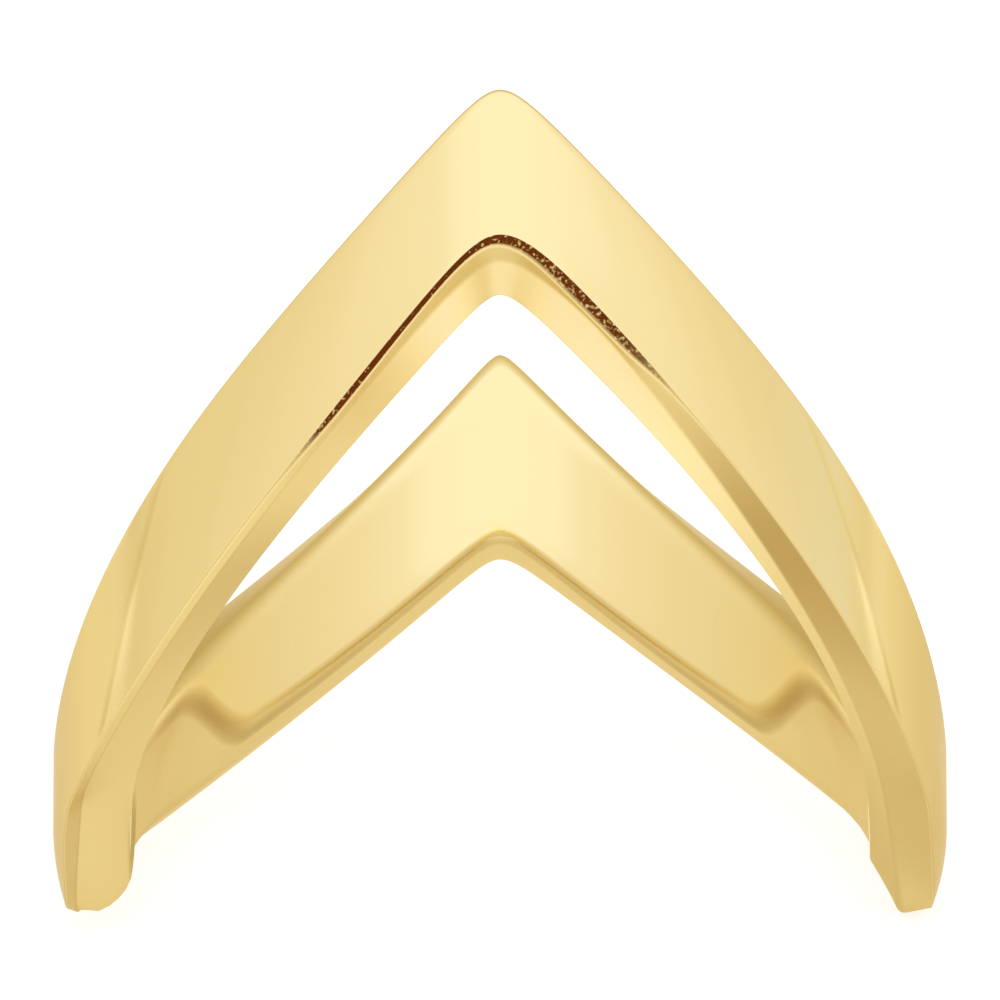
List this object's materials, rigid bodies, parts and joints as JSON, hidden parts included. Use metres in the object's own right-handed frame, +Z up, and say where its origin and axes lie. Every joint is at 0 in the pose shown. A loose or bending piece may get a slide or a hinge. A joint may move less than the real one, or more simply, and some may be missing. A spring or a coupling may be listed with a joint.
{
  "type": "chevron ring",
  "caption": "Polished yellow metal finger ring whose one-piece band peaks in a V at the front and the back and dips to low points at the sides",
  "frame": {"origin": "on the table under the middle of the ring's box, as the ring leans back at rest", "axes": "+Z up from the table, +X to the ring's right seen from its front, +Y to its back, toward which it leans"},
  "size_m": [0.021, 0.0214, 0.02],
  "materials": {
    "gold": "mirror-polished yellow gold alloy"
  },
  "bodies": {
    "root": {"band": "gold"}
  },
  "joints": []
}
